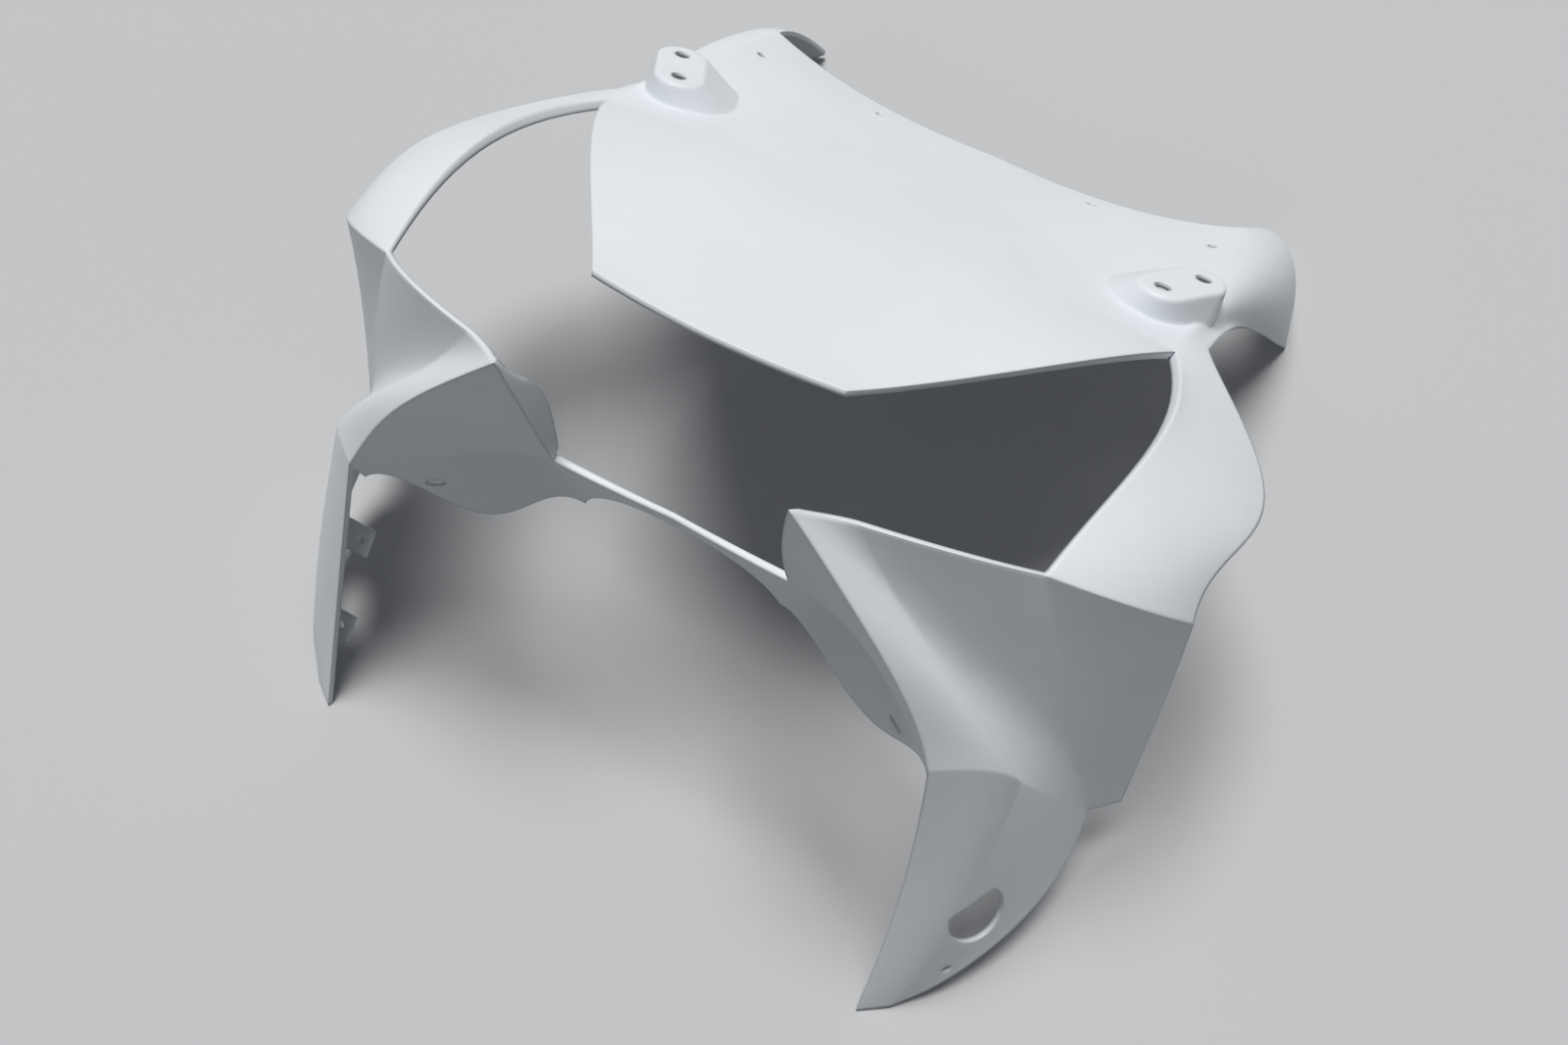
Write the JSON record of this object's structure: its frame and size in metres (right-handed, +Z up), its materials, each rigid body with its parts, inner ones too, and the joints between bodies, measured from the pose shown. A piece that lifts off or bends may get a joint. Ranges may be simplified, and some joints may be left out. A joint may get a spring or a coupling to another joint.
{
  "type": "motorcycle nose fairing",
  "caption": "Thin moulded front upper fairing of a sports motorcycle, with headlamp openings, a nose deck, mirror pads and side legs.",
  "frame": {"origin": "on the floor the part lies on, under the middle of its bounding box", "axes": "+X to the picture's right side of the part, +Y from the legs rearward to the ears, +Z up"},
  "size_m": [0.4882, 0.573, 0.2873],
  "materials": {
    "abs": "satin"
  },
  "bodies": {
    "root": {"nose_fairing": "abs"}
  },
  "joints": []
}
